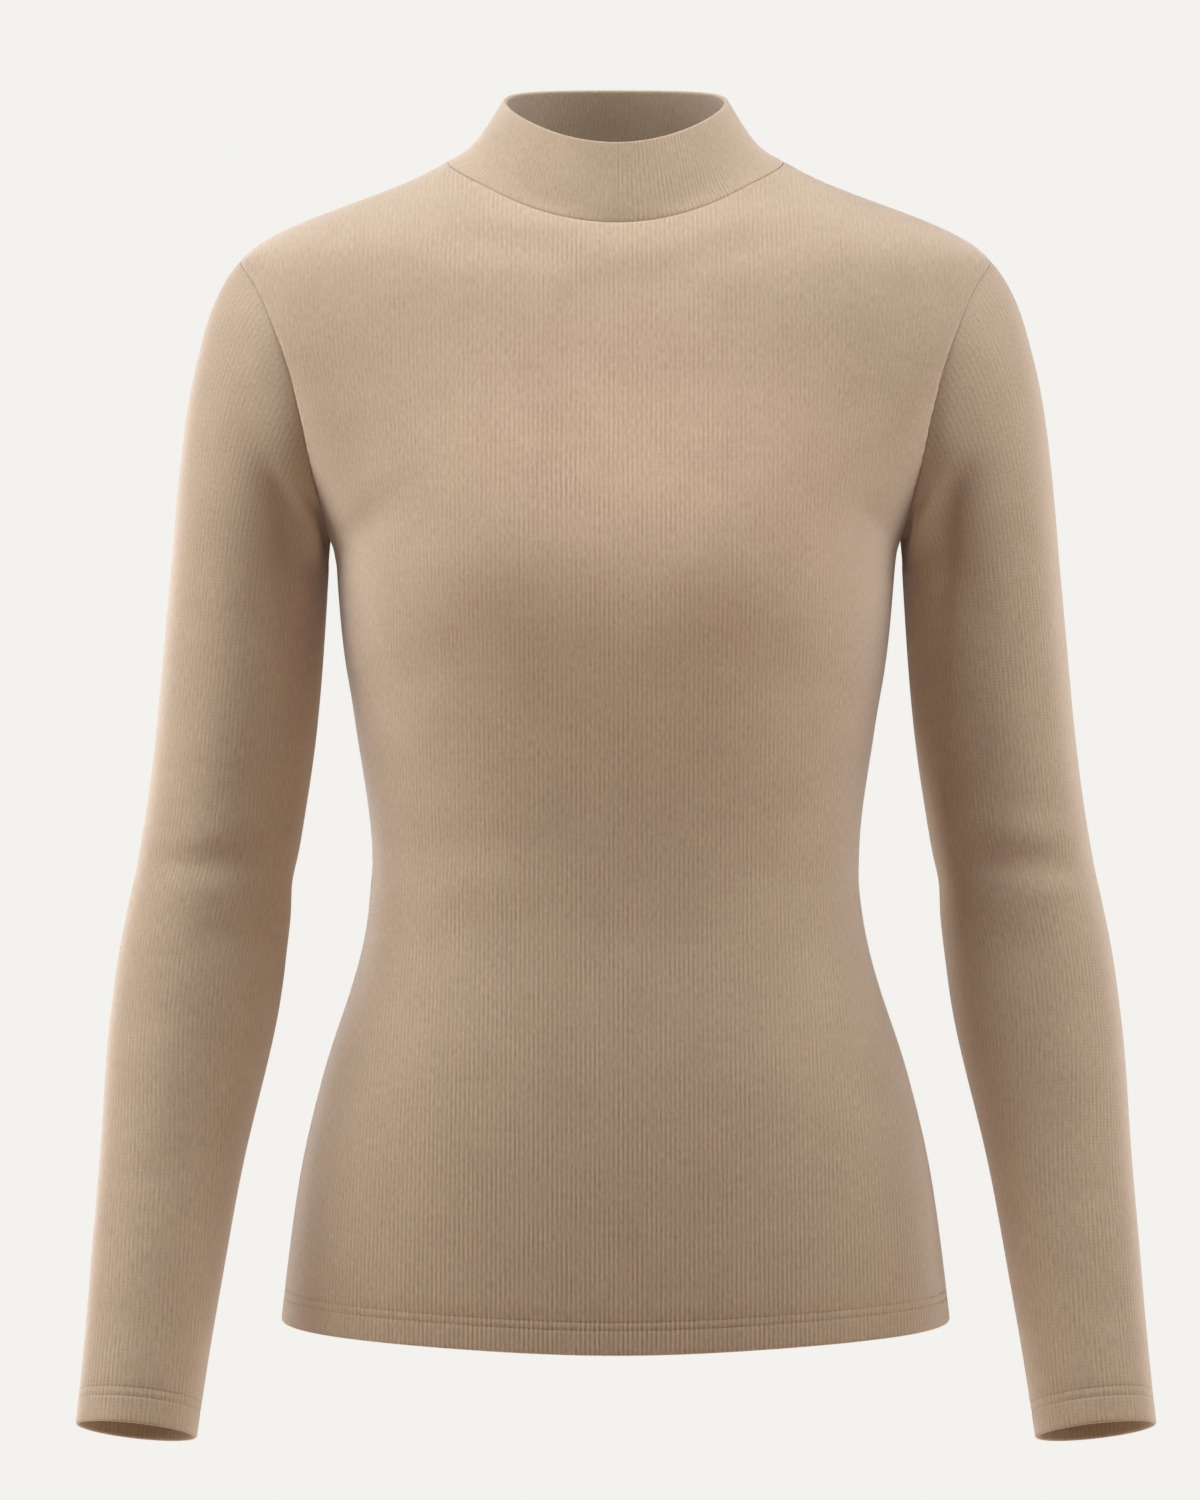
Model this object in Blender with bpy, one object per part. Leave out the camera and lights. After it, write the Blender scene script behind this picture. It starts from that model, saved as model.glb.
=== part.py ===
"""A fitted rib-knit top with long sleeves and a mock neck, hollow, as it stands when worn.

Metres, +Z up. The front faces -Y and the wearer's left is +X. The origin lies midway between
the two places where a shoulder seam meets the neck seam, at their height.
"""

import bpy
import numpy as np

MM = 0.001

# Cloth
WALL = 1.4 * MM  # rib knit
TURNED_WALL = 2.2 * MM  # rib knit where an edge is turned up and stitched
COLLAR_WALL = 2.6 * MM  # the neck band is folded double
SEAM_GAP = 0.3 * MM  # between two pieces along a seam
TURN_UP = 18 * MM  # depth of the turned hem and cuffs

# Body: half widths of the level sections through front and back. Between the shoulder tip and
# the underarm the sections run on past the armhole, which cuts them.
WIDTH_COLUMNS = ("z", "front", "back")
WIDTHS = (
    (10, 67, 67),
    (0, 84, 84),
    (-10, 102.4, 102.4),
    (-20, 126.8, 126.8),
    (-30.6, 155, 155),
    (-40.8, 177, 177),
    (-52, 191, 191),
    (-66, 193.5, 194),
    (-82, 193, 195),
    (-98, 190, 193.5),
    (-120, 182, 188),
    (-141, 172.3, 178.5),
    (-158, 163.6, 167.5),
    (-171, 156.6, 158.5),
    (-184, 149.7, 150.2),
    (-193, 145.6, 145.6),
    (-206, 142.4, 142.4),
    (-224, 140.6, 140.6),
    (-250, 138.2, 138.2),
    (-275, 134.6, 134.6),
    (-301, 130.3, 130.3),
    (-326, 126.4, 126.4),
    (-345, 124.4, 124.4),
    (-362, 124.1, 124.1),
    (-380, 125.2, 125.2),
    (-403, 129.2, 129.2),
    (-428, 136.4, 136.4),
    (-454, 145.2, 145.2),
    (-479, 152.2, 152.2),
    (-505, 158.2, 158.2),
    (-530, 162.4, 162.4),
    (-556, 165.9, 165.9),
    (-600, 171, 171),
)

# Body: depths of the same sections before and behind the seams, and how square they are.
DEPTH_COLUMNS = ("z", "front", "back", "power")
DEPTHS = (
    (10, 29, 62, 2.0),
    (0, 36, 67, 2.0),
    (-20, 51, 75, 2.0),
    (-40, 72, 81, 2.0),
    (-60, 86, 86, 2.05),
    (-98, 98, 92, 2.1),
    (-141, 103.5, 95, 2.2),
    (-193, 105, 94.5, 2.25),
    (-224, 103, 92, 2.25),
    (-275, 95.5, 86, 2.25),
    (-326, 89.5, 80, 2.25),
    (-362, 88, 77, 2.25),
    (-403, 91, 80.5, 2.25),
    (-454, 98, 93, 2.3),
    (-505, 102.5, 105.5, 2.35),
    (-556, 104.3, 111, 2.4),
    (-600, 104.5, 111.5, 2.4),
)

# Room for the bust: how far it stands out, where, and how softly it fades.
BUST_RISE = 13 * MM
BUST_Z = -205 * MM
BUST_ANGLE = 33
BUST_SPREAD = 19
BUST_ABOVE = 62 * MM
BUST_BELOW = 36 * MM

# Seams of the body
NECK_FRONT_Z = -40 * MM
NECK_BACK_Z = 5 * MM
NECK_CURVE = 1.25  # how quickly the seam climbs towards the shoulders
SHOULDER_TIP_Z = -52 * MM
UNDERARM_Z = -193 * MM
ARMHOLE_HALF_DEPTH = 52 * MM
HEM_SIDE_Z = -590 * MM
HEM_DIP = 6 * MM  # how much lower the hem hangs at the middle

# Collar: its upper edge is a tilted ring.
COLLAR_TOP_HALF_WIDTH = 57.6 * MM
COLLAR_TOP_FRONT = 62 * MM
COLLAR_TOP_BACK = 58 * MM
COLLAR_TOP_RISE = 42.8 * MM  # from the front of the ring to its back
COLLAR_TOP_ARCH = 8.2 * MM  # how far its sides rise above the tilt
COLLAR_TOP_SKEW = 2.3 * MM  # how much more of that lies before the sides than behind them
COLLAR_FLARE = 0.3  # share of the flare that lies right at the shoulders

# Left sleeve below its cap: middle and half sizes of its rings, from armpit to cuff.
SLEEVE_COLUMNS = ("z", "x", "y", "half_width", "half_depth")
SLEEVE = (
    (-208, 186.1, -1, 39.9, 46),
    (-250, 189.4, 0, 40.5, 46.5),
    (-301, 194.3, 0, 40.4, 46),
    (-352, 201.6, -2, 40, 44),
    (-377, 205.4, -4, 40.8, 44),
    (-403, 209.3, -8, 42, 44),
    (-428, 212.7, -13, 42, 43),
    (-454, 216.5, -19.5, 40.6, 41),
    (-502, 222.7, -33, 36.2, 36),
    (-551, 228, -48, 33.4, 33),
    (-599, 232.9, -63, 31, 30.7),
    (-637, 236.8, -74.5, 30, 29.8),
)

# Sleeve cap: how it leaves the armhole seam.
CAP_SLOPE_TOP = 46  # degrees below level at the shoulder
CAP_SLOPE_UNDER = 84  # degrees below level under the arm
CAP_FULLNESS_SEAM = 0.68
CAP_FULLNESS_ARM = 1.1

# Folds pressed into the sleeves: depth outwards, angle round the ring at the fold's middle,
# turn of that angle for each metre up, height, and the two spreads.
FOLD_COLUMNS = ("rise", "angle", "turn", "z", "angle_spread", "z_spread")
FOLDS = (
    (-4.2, 117, -300, -190, 9, 33),
    (2.4, 134, -450, -182, 7, 16),
    (-3.0, 243, 260, -186, 10, 30),
    (1.8, 227, 350, -180, 7, 15),
    (-2.2, 84, 700, -357, 34, 7),
    (1.2, 90, 600, -343, 32, 8),
    (-1.6, 200, -500, -369, 30, 8),
    (-1.2, 320, 300, -381, 24, 9),
    (-1.4, 110, 500, -395, 26, 9),
)

# How finely each piece is divided
HALF_COLUMNS = 15
NECK_COLUMNS = 8
ARMHOLE_ROWS = 16
BODY_ROWS = 16
SLEEVE_CAP_ROWS = 9
SLEEVE_ROWS = 15
COLLAR_ROWS = 5
STEP = 1e-4  # for slopes worked out from two nearby points


def curves(columns, table):
    """Smooth curves through a table's rows: a function of z in metres for each other column."""
    rows = np.array(sorted(table))
    z = rows[:, 0] * MM
    gap = np.diff(z)
    found = {}
    for name, value in zip(columns[1:], rows[:, 1:].T):
        slope = np.diff(value) / gap
        size = len(z)
        matrix = np.eye(size)
        right = np.zeros(size)
        for i in range(1, size - 1):
            matrix[i, i - 1 : i + 2] = gap[i - 1], 2 * (gap[i - 1] + gap[i]), gap[i]
            right[i] = 6 * (slope[i] - slope[i - 1])
        bend = np.linalg.solve(matrix, right)
        found[name] = spline(z, value, bend)
    return found


def spline(z, value, bend):
    """A natural cubic spline through (z, value), with its second derivatives bend."""

    def at(where):
        i = np.clip(np.searchsorted(z, where) - 1, 0, len(z) - 2)
        span = z[i + 1] - z[i]
        up = (where - z[i]) / span
        down = 1 - up
        curve = (down**3 - down) * bend[i] + (up**3 - up) * bend[i + 1]
        return down * value[i] + up * value[i + 1] + curve * span**2 / 6

    return at


WIDTH = curves(WIDTH_COLUMNS, WIDTHS)
DEPTH = curves(DEPTH_COLUMNS, DEPTHS)


def bell(distance, spread):
    return np.exp(-0.5 * (distance / spread) ** 2)


def unit(vectors):
    return vectors / np.linalg.norm(vectors, axis=-1, keepdims=True)


def body_point(angle, z):
    """The body's outer surface. angle is in degrees: 0 in front, 90 at the left side seam."""
    turn = np.radians(angle)
    side, ahead = np.sin(turn), np.cos(turn)
    front = ahead >= 0
    width = np.where(front, WIDTH["front"](z), WIDTH["back"](z)) * MM
    depth = np.where(front, DEPTH["front"](z), DEPTH["back"](z)) * MM
    power = DEPTH["power"](z)
    reach = (np.abs(side / width) ** power + np.abs(ahead / depth) ** power) ** (-1 / power)
    height = bell(z - BUST_Z, np.where(z > BUST_Z, BUST_ABOVE, BUST_BELOW))
    lobes = bell(angle - BUST_ANGLE, BUST_SPREAD) + bell(angle + BUST_ANGLE, BUST_SPREAD)
    reach = reach + BUST_RISE * lobes * height
    return np.stack([reach * side, -reach * ahead, z + 0 * reach], -1)


def body_normal(angle, z):
    degrees = np.degrees(STEP * 10)
    across = body_point(angle + degrees, z) - body_point(angle - degrees, z)
    up = body_point(angle, z + STEP) - body_point(angle, z - STEP)
    return unit(np.cross(across, up))


def armhole_point(turn, back):
    """The left armhole seam. turn is in radians: 0 at the shoulder tip, pi under the arm."""
    middle = (SHOULDER_TIP_Z + UNDERARM_Z) / 2
    z = middle + (SHOULDER_TIP_Z - UNDERARM_Z) / 2 * np.cos(turn)
    ahead = ARMHOLE_HALF_DEPTH * np.sin(turn)
    side = "back" if back else "front"
    power = DEPTH["power"](z)
    rest = 1 - np.abs(ahead / (DEPTH[side](z) * MM)) ** power
    x = WIDTH[side](z) * MM * rest ** (1 / power)
    return np.stack([x, ahead if back else -ahead, z], -1)


def armhole_frame(turn, back):
    """Outward direction shared by both walls at the armhole seam, and the way across it."""
    ahead = np.sin(turn) * (1 if back else -1)
    lift = np.cos(turn)
    out = np.stack([0.22 * (1 + lift), ahead, lift], -1)
    if back:
        along = armhole_point(turn + STEP, True) - armhole_point(turn - STEP, True)
    else:
        along = armhole_point(turn - STEP, False) - armhole_point(turn + STEP, False)
    along = unit(along)
    out = unit(out - along * np.sum(out * along, -1, keepdims=True))
    return out, np.cross(along, out)


def neck_height(angle):
    """The neck seam's height: lowest in front, highest behind, 0 where it meets the shoulders."""
    ahead = np.cos(np.radians(angle))
    level = np.abs(ahead) ** NECK_CURVE
    return np.where(ahead > 0, NECK_FRONT_Z, NECK_BACK_Z) * level


def neck_point(angle):
    """The neck seam, at the same angles as the body."""
    return body_point(angle, neck_height(angle))


def neck_frame(angle):
    """Outward direction shared by both walls at the neck seam, and the way up across it."""
    turn = np.radians(angle)
    out = np.stack([0.8 * np.sin(turn), -0.8 * np.cos(turn), 0.6 + 0 * turn], -1)
    along = unit(neck_point(angle + 0.1) - neck_point(angle - 0.1))
    out = unit(out - along * np.sum(out * along, -1, keepdims=True))
    return out, np.cross(out, along)


def panel_grid(back):
    """Angles and heights of a body panel's points, row by row from the hem to its top edge."""
    share = np.abs(np.arange(-HALF_COLUMNS, HALF_COLUMNS + 1)) / HALF_COLUMNS
    neck = NECK_COLUMNS / HALF_COLUMNS
    base = 90 * share
    top_angle = np.where(share < neck, 90 * share / neck, 90)
    neck_z = neck_height(180 - top_angle if back else top_angle)
    ridge = np.clip((share - neck) / (1 - neck), 0, 1)
    ridge_z = SHOULDER_TIP_Z * (0.8 * ridge + 0.2 * ridge**2)
    top_z = np.where(share < neck, neck_z, ridge_z)
    hem_z = HEM_SIDE_Z - HEM_DIP * np.cos(np.radians(base)) ** 2
    angles, heights = [], []
    lower = [hem_z, hem_z + TURN_UP / 2, hem_z + TURN_UP]
    first = hem_z + TURN_UP + 1 * MM
    for i in range(BODY_ROWS):
        lower.append(first + (UNDERARM_Z - first) * i / BODY_ROWS)
    for z in lower:
        angles.append(base)
        heights.append(z)
    for i in range(ARMHOLE_ROWS + 1):
        turn = np.pi * (1 - i / ARMHOLE_ROWS)
        up = (1 + np.cos(turn)) / 2
        edge = armhole_point(np.array(turn), back)
        edge_angle = np.degrees(np.arctan2(edge[0], abs(edge[1])))
        angles.append((1 - up) * base + up * top_angle + share * (edge_angle - 90))
        heights.append(UNDERARM_Z + (top_z - UNDERARM_Z) * up)
    return np.array(angles), np.array(heights)


def panel(name, back, material):
    """The front or the back: a wall between two grids of points."""
    angle, z = panel_grid(back)
    sides = np.sign(np.arange(-HALF_COLUMNS, HALF_COLUMNS + 1))
    outer = body_point(180 - angle if back else angle, z)
    out = body_normal(180 - angle if back else angle, z)
    wall = np.where(z < z[0] + TURN_UP + 0.1 * MM, TURNED_WALL, WALL)
    first = len(z) - ARMHOLE_ROWS - 1
    for i in range(ARMHOLE_ROWS + 1):
        turn = np.array(np.pi * (1 - i / ARMHOLE_ROWS))
        direction, across = armhole_frame(turn, back)
        outer[first + i, [0, -1]] = armhole_point(turn, back) - across * SEAM_GAP / 2
        out[first + i, [0, -1]] = direction
    middle = HALF_COLUMNS
    for i in range(middle - NECK_COLUMNS, middle + NECK_COLUMNS + 1):
        place = 180 - angle[-1, i] if back else angle[-1, i]
        direction, across = neck_frame(place)
        outer[-1, i] = neck_point(place) - across * SEAM_GAP / 2
        out[-1, i] = direction * 1.15
    inner = outer - out * wall[..., None]
    flip = np.ones((1, len(sides), 3))
    flip[0, sides < 0, 0] = -1
    outer, inner = outer * flip, inner * flip
    limit = SEAM_GAP / 2
    for points in (outer, inner):
        y = points[..., 1]
        points[..., 1] = np.maximum(y, limit) if back else np.minimum(y, -limit)
    if back:
        outer, inner = outer[:, ::-1], inner[:, ::-1]
    return wall_object(name, outer, inner, False, material)


SLEEVE_CURVE = curves(SLEEVE_COLUMNS, SLEEVE)


def sleeve_ring(angle, z):
    """A point of the left sleeve below its cap. angle: 0 outside, 90 in front, 180 inside."""
    turn = np.radians(angle)

    def middle(at):
        return np.stack([SLEEVE_CURVE["x"](at) * MM, SLEEVE_CURVE["y"](at) * MM, at], -1)

    down = unit(middle(z - STEP) - middle(z + STEP))
    right = np.array([1.0, 0.0, 0.0])
    wide = unit(right - down * (down @ right)[..., None])
    ahead = np.cross(wide, down)
    half_width = SLEEVE_CURVE["half_width"](z) * MM
    half_depth = SLEEVE_CURVE["half_depth"](z) * MM
    sideways = wide * (half_width * np.cos(turn))[..., None]
    return middle(z) + sideways - ahead * (half_depth * np.sin(turn))[..., None], down


def sleeve_point(angle, place):
    """The left sleeve's outer surface. place: 0 at the armhole, 1 at the cap's end, 2 at the cuff."""
    angle, place = np.broadcast_arrays(np.asarray(angle, float), np.asarray(place, float))
    top, bottom = SLEEVE[0][0] * MM, SLEEVE[-1][0] * MM
    z = top + (bottom - top) * np.clip(place - 1, 0, 1)
    ring, down = sleeve_ring(angle, z)
    turn = np.radians(angle % 360)
    around = np.where(turn > np.pi, 2 * np.pi - turn, turn)
    front, back = armhole_point(around, False), armhole_point(around, True)
    seam = np.where((turn > np.pi)[..., None], back, front)
    slope = CAP_SLOPE_TOP + (CAP_SLOPE_UNDER - CAP_SLOPE_TOP) * ((1 - np.cos(turn)) / 2) ** 3
    slope = np.radians(slope)
    leave = np.stack([np.cos(slope), -0.06 * np.sin(turn), -np.sin(slope)], -1)
    length = np.linalg.norm(ring - seam, axis=-1, keepdims=True)
    t = np.clip(place, 0, 1)[..., None]
    cap = (2 * t**3 - 3 * t**2 + 1) * seam
    cap = cap + (t**3 - 2 * t**2 + t) * length * CAP_FULLNESS_SEAM * leave
    cap = cap + (3 * t**2 - 2 * t**3) * ring
    cap = cap + (t**3 - t**2) * length * CAP_FULLNESS_ARM * down
    return np.where((place < 1)[..., None], cap, ring)


def sleeve_normal(angle, place):
    across = sleeve_point(angle + 0.2, place) - sleeve_point(angle - 0.2, place)
    before = np.maximum(place - 0.002, 0)
    after = np.minimum(place + 0.002, 2)
    down = sleeve_point(angle, after) - sleeve_point(angle, before)
    return unit(np.cross(across, down))


def folds(angle, z):
    """How far the sleeve's folds move its cloth outwards."""
    moved = np.zeros(np.broadcast(angle, z).shape)
    for row in FOLDS:
        fold = dict(zip(FOLD_COLUMNS, row))
        middle = fold["angle"] + fold["turn"] * (z - fold["z"] * MM)
        height = bell(z - fold["z"] * MM, fold["z_spread"] * MM)
        moved += fold["rise"] * MM * bell(angle - middle, fold["angle_spread"]) * height
    return moved


def sleeve(name, right, material):
    """A sleeve: a tube from the armhole seam to the turned cuff."""
    angle = np.arange(2 * ARMHOLE_ROWS) * 180 / ARMHOLE_ROWS
    length = (SLEEVE[0][0] - SLEEVE[-1][0]) * MM
    turned = 2 - TURN_UP / length
    places = list(np.arange(SLEEVE_CAP_ROWS) / SLEEVE_CAP_ROWS)
    places += list(1 + (turned - 1 - 1 * MM / length) * np.arange(SLEEVE_ROWS + 1) / SLEEVE_ROWS)
    places += [turned, (turned + 2) / 2, 2]
    angle, place = np.meshgrid(angle, np.array(places))
    outer = sleeve_point(angle, place)
    out = sleeve_normal(angle, place)
    fade = np.clip(place / 0.15, 0, 1)
    outer = outer + out * (folds(angle, outer[..., 2]) * fade)[..., None]
    wall = np.where(place > turned - 1e-6, TURNED_WALL, WALL)
    for i in range(2 * ARMHOLE_ROWS):
        back = i > ARMHOLE_ROWS
        turn = np.radians(360 - angle[0, i] if back else angle[0, i])
        direction, across = armhole_frame(turn, back)
        outer[0, i] = armhole_point(turn, back) + across * SEAM_GAP / 2
        out[0, i] = direction
    inner = outer - out * wall[..., None]
    if right:
        mirror = np.array([-1, 1, 1])
        outer, inner = (outer * mirror)[:, ::-1], (inner * mirror)[:, ::-1]
    return wall_object(name, outer, inner, True, material)


def collar(name, material):
    """The neck band: a ring with a folded upper edge, standing on the neck seam."""
    angle = np.arange(4 * NECK_COLUMNS) * 90 / NECK_COLUMNS
    turn = np.radians(angle)
    side, ahead = np.sin(turn), np.cos(turn)
    direction, across = neck_frame(angle)
    seam = neck_point(angle) + across * SEAM_GAP / 2
    half_depth = np.where(ahead > 0, COLLAR_TOP_FRONT, COLLAR_TOP_BACK)
    top_z = COLLAR_TOP_RISE * (1 - ahead) / 2
    top_z = top_z + (COLLAR_TOP_ARCH + COLLAR_TOP_SKEW * ahead) * side**2
    top = np.stack([COLLAR_TOP_HALF_WIDTH * side, -half_depth * ahead, top_z], -1)
    outer = []
    for i in range(COLLAR_ROWS + 1):
        up = i / COLLAR_ROWS
        sharp = COLLAR_FLARE * side**2
        spread = ((1 - sharp) * (1 - up) + sharp * (1 - up) ** 6)[:, None]
        level = seam[:, :2] * spread + top[:, :2] * (1 - spread)
        height = seam[:, 2] * (1 - up) + top[:, 2] * up
        outer.append(np.column_stack([level, height]))
    outer = np.array(outer)
    along = np.roll(outer, -1, axis=1) - np.roll(outer, 1, axis=1)
    out = unit(np.cross(along, np.gradient(outer, axis=0)))
    out[0] = direction * 1.1
    inner = outer - out * COLLAR_WALL
    lift = unit(outer[-1] - outer[-2]) * COLLAR_WALL / 2
    middle = (outer[-1] + inner[-1]) / 2
    fold = [middle + lift + (outer[-1] - middle) * 0.4, middle + lift + (inner[-1] - middle) * 0.4]
    outer = np.concatenate([outer, fold[:1]])
    inner = np.concatenate([inner, fold[1:]])
    return wall_object(name, outer, inner, True, material)


def wall_object(name, outer, inner, closed, material):
    """One closed wall between two grids. closed: the rows run all the way round."""
    rows, columns = outer.shape[:2]
    points = np.concatenate([outer.reshape(-1, 3), inner.reshape(-1, 3)])
    number = np.arange(rows * columns).reshape(rows, columns)
    under = number + rows * columns
    faces = []
    last = columns if closed else columns - 1
    for i in range(rows - 1):
        for j in range(last):
            k = (j + 1) % columns
            faces.append((number[i, j], number[i, k], number[i + 1, k], number[i + 1, j]))
            faces.append((under[i + 1, j], under[i + 1, k], under[i, k], under[i, j]))
    for j in range(last):
        k = (j + 1) % columns
        faces.append((under[0, j], under[0, k], number[0, k], number[0, j]))
        faces.append((number[-1, j], number[-1, k], under[-1, k], under[-1, j]))
    if not closed:
        for i in range(rows - 1):
            faces.append((number[i, 0], number[i + 1, 0], under[i + 1, 0], under[i, 0]))
            faces.append((under[i, -1], under[i + 1, -1], number[i + 1, -1], number[i, -1]))
    mesh = bpy.data.meshes.new(name)
    mesh.from_pydata(points.tolist(), [], [tuple(int(i) for i in face) for face in faces])
    mesh.materials.append(material)
    mesh.shade_smooth()
    piece = bpy.data.objects.new(name, mesh)
    bpy.context.scene.collection.objects.link(piece)
    return piece


def rib_knit(name, colour):
    """Matt knitted cotton."""
    material = bpy.data.materials.new(name)
    material.use_nodes = True
    shader = material.node_tree.nodes["Principled BSDF"]
    shader.inputs["Base Color"].default_value = (*colour, 1)
    shader.inputs["Roughness"].default_value = 0.9
    shader.inputs["Metallic"].default_value = 0.0
    return material


for old in list(bpy.data.objects):
    bpy.data.objects.remove(old, do_unlink=True)

BEIGE = (0.46, 0.33, 0.235)
panel("front", False, rib_knit("front_knit", BEIGE))
panel("back", True, rib_knit("back_knit", BEIGE))
sleeve("sleeve_left", False, rib_knit("sleeve_left_knit", BEIGE))
sleeve("sleeve_right", True, rib_knit("sleeve_right_knit", BEIGE))
collar("collar", rib_knit("collar_knit", BEIGE))
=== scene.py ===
import bmesh
import bpy
import numpy as np
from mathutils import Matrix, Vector, kdtree


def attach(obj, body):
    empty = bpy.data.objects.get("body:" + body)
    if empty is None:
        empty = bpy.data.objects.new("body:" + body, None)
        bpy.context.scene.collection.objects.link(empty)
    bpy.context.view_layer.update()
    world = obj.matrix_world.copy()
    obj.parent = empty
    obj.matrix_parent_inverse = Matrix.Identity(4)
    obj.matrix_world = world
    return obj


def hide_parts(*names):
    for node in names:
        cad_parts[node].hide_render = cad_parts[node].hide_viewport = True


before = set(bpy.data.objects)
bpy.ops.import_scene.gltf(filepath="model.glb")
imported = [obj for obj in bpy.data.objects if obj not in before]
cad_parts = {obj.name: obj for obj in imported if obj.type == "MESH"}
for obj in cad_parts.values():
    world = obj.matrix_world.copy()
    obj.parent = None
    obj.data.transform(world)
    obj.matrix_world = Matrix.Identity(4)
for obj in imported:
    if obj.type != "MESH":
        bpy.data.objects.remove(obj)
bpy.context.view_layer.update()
MM = 0.001

# ---------------------------------------------------------------------------------------------
# Front and back: two panels of fine cotton rib knit, cut to the waist. The shoulder and side
# seams are overlocked, which pulls their edges in, and the hem is turned up 18 mm. The outer
# side carries the ribs in its mesh, four lines of points to a rib, and the inner side is plain.
# ---------------------------------------------------------------------------------------------
WALL = 1.4 * MM
TURNED_WALL = 2.2 * MM  # where the edge is turned up
TURN_UP = 18 * MM
SEAM_GAP = 0.12 * MM
SEAM_DEPTH = 0.32 * MM  # how deep an overlocked seam pulls the cloth in
SEAM_FADE = 1.0 * MM
SEAM_EASED = 0.85  # share of that depth lost over the tip of the shoulder
SEAM_EASED_X = (120 * MM, 150 * MM)
SEAM_EASED_Z = (-95 * MM, -65 * MM)
STITCH_ROWS = (12.3 * MM, 16.3 * MM)  # twin needle rows, above the edge
STITCH_DENT = 0.34 * MM
STITCH_DENT_SPREAD = 0.35 * MM
INNER_ROLL = 1.8  # how the inner side of a turned edge rolls out to meet the outer side

# The real ribs are finer. The photograph blends them into lines 2.3 mm apart, drawn here.
RIB = 2.3 * MM
RIB_HEIGHT = 0.26 * MM
RIB_PRESSED = 1.2 * MM  # how far from a seam the ribs are pressed flat
RIBS_STRAIGHT = (60 * MM, 150 * MM)  # from here down to here straight ribs turn to go round
# Shares of that height: at the sides, more at the middle, and more again low down.
RIBS_AT_SIDES = 0.12
RIBS_AT_MIDDLE = 0.38
RIBS_LOW_DOWN = 0.9
RIBS_LOW_Z = (300 * MM, 560 * MM)
RIBS_HALF_WIDTH = 85 * MM
RIBS_WIDER = 35 * MM  # that the ribbed middle gains towards the hem
RIBS_WIDER_Z = (430 * MM, 590 * MM)

# Rows of points above a turned edge: closest at its roll and beside the stitches.
STITCH_STEPS = (-1, -0.45, 0, 0.45, 1)
STITCH_RISES = [row / MM + step for row in STITCH_ROWS for step in STITCH_STEPS]
FINE_RISES = np.array([0, 0.2, 0.55, 1.1, 3.5, 7, 10, *STITCH_RISES]) * MM
PLAIN_RISES = np.array([0, 0.35, 1.1, 9, 18, 18.6]) * MM
PLAIN_COLUMNS = 61

# The same surface as the solids: half widths and depths of its level sections, in mm.
WIDTH_COLUMNS = ("z", "front", "back")
WIDTHS = (
    (10, 67, 67),
    (0, 84, 84),
    (-10, 102.4, 102.4),
    (-20, 126.8, 126.8),
    (-30.6, 155, 155),
    (-40.8, 177, 177),
    (-52, 191, 191),
    (-66, 193.5, 194),
    (-82, 193, 195),
    (-98, 190, 193.5),
    (-120, 182, 188),
    (-141, 172.3, 178.5),
    (-158, 163.6, 167.5),
    (-171, 156.6, 158.5),
    (-184, 149.7, 150.2),
    (-193, 145.6, 145.6),
    (-206, 142.4, 142.4),
    (-224, 140.6, 140.6),
    (-250, 138.2, 138.2),
    (-275, 134.6, 134.6),
    (-301, 130.3, 130.3),
    (-326, 126.4, 126.4),
    (-345, 124.4, 124.4),
    (-362, 124.1, 124.1),
    (-380, 125.2, 125.2),
    (-403, 129.2, 129.2),
    (-428, 136.4, 136.4),
    (-454, 145.2, 145.2),
    (-479, 152.2, 152.2),
    (-505, 158.2, 158.2),
    (-530, 162.4, 162.4),
    (-556, 165.9, 165.9),
    (-600, 171, 171),
)
DEPTH_COLUMNS = ("z", "front", "back", "power")
DEPTHS = (
    (10, 29, 62, 2.0),
    (0, 36, 67, 2.0),
    (-20, 51, 75, 2.0),
    (-40, 72, 81, 2.0),
    (-60, 86, 86, 2.05),
    (-98, 98, 92, 2.1),
    (-141, 103.5, 95, 2.2),
    (-193, 105, 94.5, 2.25),
    (-224, 103, 92, 2.25),
    (-275, 95.5, 86, 2.25),
    (-326, 89.5, 80, 2.25),
    (-362, 88, 77, 2.25),
    (-403, 91, 80.5, 2.25),
    (-454, 98, 93, 2.3),
    (-505, 102.5, 105.5, 2.35),
    (-556, 104.3, 111, 2.4),
    (-600, 104.5, 111.5, 2.4),
)
BUST_RISE = 13 * MM
BUST_Z = -205 * MM
BUST_ANGLE = 33
BUST_SPREAD = 19
BUST_ABOVE = 62 * MM
BUST_BELOW = 36 * MM

NECK_FRONT_Z = -40 * MM
NECK_BACK_Z = 5 * MM
NECK_CURVE = 1.25
NECK_SIDEWAYS = 0.8  # which way the cloth faces along the neck seam
NECK_UPWARDS = 0.6
SHOULDER_TIP_Z = -52 * MM
SHOULDER_BOW = 0.2  # how much steeper the shoulder seam gets towards its tip
UNDERARM_Z = -193 * MM
ARMHOLE_HALF_DEPTH = 52 * MM
ARMHOLE_LEAN = 0.22  # how far the cloth faces sideways along the top of the armhole
HEM_SIDE_Z = -590 * MM
HEM_DIP = 6 * MM

# A soft lift of the cloth along the armhole seam. It fades towards the side seam, and by the
# seam's level, which is 1 at the shoulder tip and -1 under the arm.
LIFT = 5 * MM
LIFT_SPREAD = 14 * MM
LIFT_FADES_UNDER = (-0.95, -0.5)
LIFT_FADES_OVER = (0.3, 0.95)
LIFT_FADES_SIDE = (10 * MM, 35 * MM)

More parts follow.
